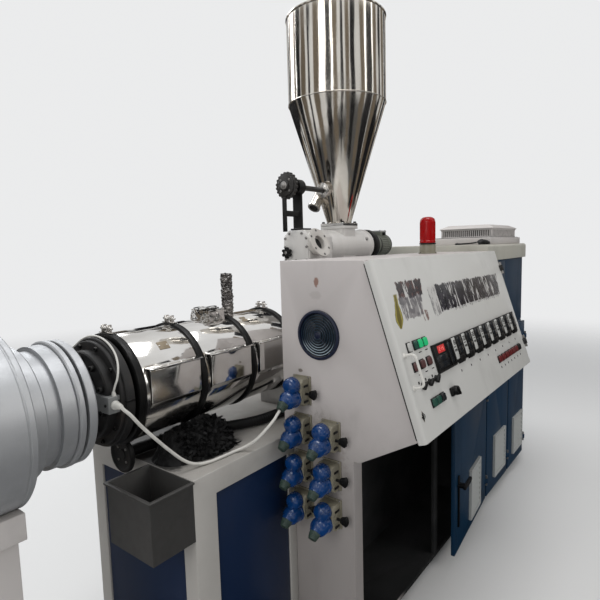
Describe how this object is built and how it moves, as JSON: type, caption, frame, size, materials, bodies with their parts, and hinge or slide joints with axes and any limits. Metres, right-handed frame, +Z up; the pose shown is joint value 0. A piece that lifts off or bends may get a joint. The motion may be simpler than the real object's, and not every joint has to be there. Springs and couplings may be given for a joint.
{
  "type": "plastic extruder",
  "caption": "Conical twin-screw plastic extruder with a shielded barrel and die head, a slanted control console, blue drive housing and a conical hopper.",
  "frame": {"origin": "on the floor, under the barrel's axis, in the plane of the cabinet's end panel", "axes": "+X along the barrel from the die towards the drive end, -Y towards the operator, +Z up"},
  "size_m": [3.2215, 1.3712, 2.604],
  "materials": {
    "white_paint": "warm light grey paint with hand smudges",
    "blue_paint": "blue enamel",
    "dark_blue_paint": "dark blue paint",
    "bare_steel": "bare dull steel",
    "dark_steel": "heat-darkened steel",
    "bright_steel": "polished stainless sheet",
    "silver_paint": "silver paint",
    "black_paint": "black paint",
    "grey_green_paint": "grey-green paint",
    "beige_plastic": "beige moulded plastic",
    "white_plastic": "white moulded plastic",
    "black_plastic": "black moulded plastic",
    "blue_plastic": "blue moulded plastic",
    "red_plastic": "red moulded plastic",
    "white_rubber": "white cable sheath",
    "black_rubber": "black hose rubber"
  },
  "bodies": {
    "machine": {"bed_frame": "white_paint", "bed_panels": "blue_paint", "end_tray": "bare_steel", "barrel": "bare_steel", "adapter": "dark_steel", "heat_shields": "bright_steel", "shield_bands": "black_paint", "barrel_vent": "bright_steel", "die_rings": "silver_paint", "die_flanges": "silver_paint", "die_stand": "white_paint", "cabinet": "white_paint", "feet": "dark_steel", "fan_grille": "dark_blue_paint", "socket_bodies": "beige_plastic", "socket_levers": "black_plastic", "plugs": "blue_plastic", "drive_housing": "blue_paint", "hinges": "dark_steel", "roof_cover": "white_paint", "cooling_unit": "white_plastic", "beacon_base": "beige_plastic", "beacon_lens": "red_plastic", "feeder_housing": "silver_paint", "feeder_knob": "black_plastic", "inspection_flange": "silver_paint", "feeder_motor": "grey_green_paint", "hopper": "bright_steel", "hopper_collar": "bright_steel", "agitator_post": "black_paint", "scrap_heap": "black_plastic", "heater_cable": "white_rubber", "bed_hose": "black_rubber"},
    "door_1": {"door_1": "blue_paint", "louvre_1": "white_paint", "door_handle": "black_plastic"},
    "door_2": {"door_2": "blue_paint", "louvre_2": "white_paint"},
    "door_3": {"door_3": "blue_paint", "louvre_3": "white_paint"},
    "console_lid": {"console_lid": "white_paint", "lid_handle": "white_plastic", "controllers": "black_plastic", "console_controls": "red_plastic"},
    "chain_wheel": {"chain_wheel": "black_paint"}
  },
  "joints": [
    {"name": "door_1_hinge", "type": "hinge", "parent": "machine", "child": "door_1", "pos_m": [1.361, -0.565, 0.4], "axis": [0, 0, 1], "range_deg": [-5, 90]},
    {"name": "door_2_hinge", "type": "hinge", "parent": "machine", "child": "door_2", "pos_m": [1.786, -0.565, 0.5], "axis": [0, 0, 1], "range_deg": [0, 95]},
    {"name": "door_3_hinge", "type": "hinge", "parent": "machine", "child": "door_3", "pos_m": [2.163, -0.565, 0.5], "axis": [0, 0, 1], "range_deg": [0, 95]},
    {"name": "console_lid_hinge", "type": "hinge", "parent": "machine", "child": "console_lid", "pos_m": [1.265, -0.62506, 1.46115], "axis": [0, 0.3116, 0.9502], "range_deg": [0, 95]},
    {"name": "chain_wheel_spin", "type": "hinge", "parent": "machine", "child": "chain_wheel", "pos_m": [0.352, 0, 1.773], "axis": [1, 0, 0], "continuous": true}
  ]
}
